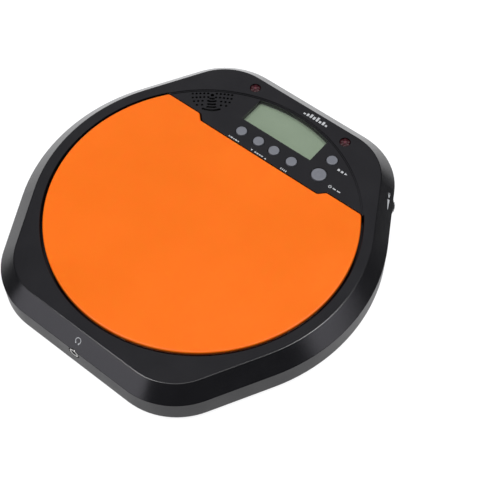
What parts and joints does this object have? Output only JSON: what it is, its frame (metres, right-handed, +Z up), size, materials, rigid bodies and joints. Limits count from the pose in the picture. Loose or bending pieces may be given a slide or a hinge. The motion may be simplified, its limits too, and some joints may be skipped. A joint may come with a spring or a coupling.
{
  "type": "electronic drum pad",
  "caption": "Flat electronic practice drum pad with a large rubber striking pad, display panel with keys, speaker grille, beat lamps, headphone socket and volume wheel.",
  "frame": {"origin": "on the surface it stands on, under the middle of the round pad, which is the middle of the case", "axes": "+Z up, +Y from the player to the display (away from the headphone socket), +X to the player's right"},
  "size_m": [0.284, 0.286, 0.0344],
  "materials": {
    "case_black": "satin, finely textured",
    "band_grey": "fine moulded texture",
    "pad_orange": "smooth matt rubber",
    "foot_rubber": "matt",
    "key_grey": "matt silicone",
    "dome_rubber": "matt silicone",
    "carbon": "matt",
    "foam_grey": "open foam",
    "plate_steel": "zinc plated",
    "screw_steel": "plated",
    "nickel": "bright nickel",
    "brass": "bare",
    "ceramic": "silvered ceramic",
    "board_green": "solder mask",
    "chip_black": "moulded epoxy",
    "display_glass": "display cell",
    "window_clear": "clear, polished",
    "white_plastic": "matt",
    "lens_red": "clear dark red",
    "diode_red": "tinted",
    "speaker_black": "matt",
    "paper_black": "pressed paper",
    "magnet": "dark ferrite",
    "wheel_black": "knurled",
    "cell_wrap": "plain wrap",
    "wire_cover": "pvc"
  },
  "bodies": {
    "case": {"upper_case": "case_black", "lower_case": "band_grey", "rubber_feet": "foot_rubber", "drum_pad": "pad_orange", "strike_plate": "plate_steel", "pad_foam": "foam_grey", "piezo_disc": "brass", "piezo_ceramic": "ceramic", "piezo_cushion": "foam_grey", "keypad_sheet": "dome_rubber", "main_board": "board_green", "controller_chips": "chip_black", "board_components": "chip_black", "case_screws": "screw_steel", "board_screws": "screw_steel", "lcd_frame": "speaker_black", "lcd_glass": "display_glass", "lcd_reflector": "white_plastic", "zebra_strips": "dome_rubber", "display_window": "window_clear", "left_beat_lens": "lens_red", "right_beat_lens": "lens_red", "beat_diodes": "diode_red", "speaker_frame": "speaker_black", "speaker_magnet": "magnet", "speaker_cone": "paper_black", "speaker_gasket": "foam_grey", "speaker_clamps": "plate_steel", "volume_control": "speaker_black", "volume_board": "board_green", "headphone_jack": "chip_black", "jack_nut": "nickel", "jack_board": "board_green", "batteries": "cell_wrap", "battery_contacts": "plate_steel", "piezo_wires": "wire_cover", "control_wires": "wire_cover", "supply_wires": "wire_cover", "rhythm_dome": "dome_rubber", "tempo_down_dome": "dome_rubber", "tempo_up_dome": "dome_rubber", "beat_dome": "dome_rubber", "mode_dome": "dome_rubber", "power_dome": "dome_rubber"},
    "rhythm_key": {"rhythm_key": "key_grey", "rhythm_pill": "carbon"},
    "tempo_down_key": {"tempo_down_key": "key_grey", "tempo_down_pill": "carbon"},
    "tempo_up_key": {"tempo_up_key": "key_grey", "tempo_up_pill": "carbon"},
    "beat_key": {"beat_key": "key_grey", "beat_pill": "carbon"},
    "mode_key": {"mode_key": "key_grey", "mode_pill": "carbon"},
    "power_key": {"power_key": "key_grey", "power_pill": "carbon"},
    "volume_wheel": {"volume_wheel": "wheel_black", "volume_shaft": "white_plastic", "volume_wheel_screw": "screw_steel"},
    "battery_door": {"battery_door": "band_grey"}
  },
  "joints": [
    {"name": "rhythm_press", "type": "slide", "parent": "case", "child": "rhythm_key", "axis": [0, 0, -1], "range_m": [0, 0.001], "stiffness_N_per_m": 300, "deforming": ["rhythm_dome"]},
    {"name": "tempo_down_press", "type": "slide", "parent": "case", "child": "tempo_down_key", "axis": [0, 0, -1], "range_m": [0, 0.001], "stiffness_N_per_m": 300, "deforming": ["tempo_down_dome"]},
    {"name": "tempo_up_press", "type": "slide", "parent": "case", "child": "tempo_up_key", "axis": [0, 0, -1], "range_m": [0, 0.001], "stiffness_N_per_m": 300, "deforming": ["tempo_up_dome"]},
    {"name": "beat_press", "type": "slide", "parent": "case", "child": "beat_key", "axis": [0, 0, -1], "range_m": [0, 0.001], "stiffness_N_per_m": 300, "deforming": ["beat_dome"]},
    {"name": "mode_press", "type": "slide", "parent": "case", "child": "mode_key", "axis": [0, 0, -1], "range_m": [0, 0.001], "stiffness_N_per_m": 300, "deforming": ["mode_dome"]},
    {"name": "power_press", "type": "slide", "parent": "case", "child": "power_key", "axis": [0, 0, -1], "range_m": [0, 0.001], "stiffness_N_per_m": 300, "deforming": ["power_dome"]},
    {"name": "volume_turn", "type": "hinge", "parent": "case", "child": "volume_wheel", "pos_m": [0.09697, 0.10116, 0.0154], "axis": [0, 0, 1], "range_deg": [-135, 135]},
    {"name": "battery_door_slide", "type": "slide", "parent": "case", "child": "battery_door", "axis": [0, 1, 0], "range_m": [0, 0.066]}
  ]
}
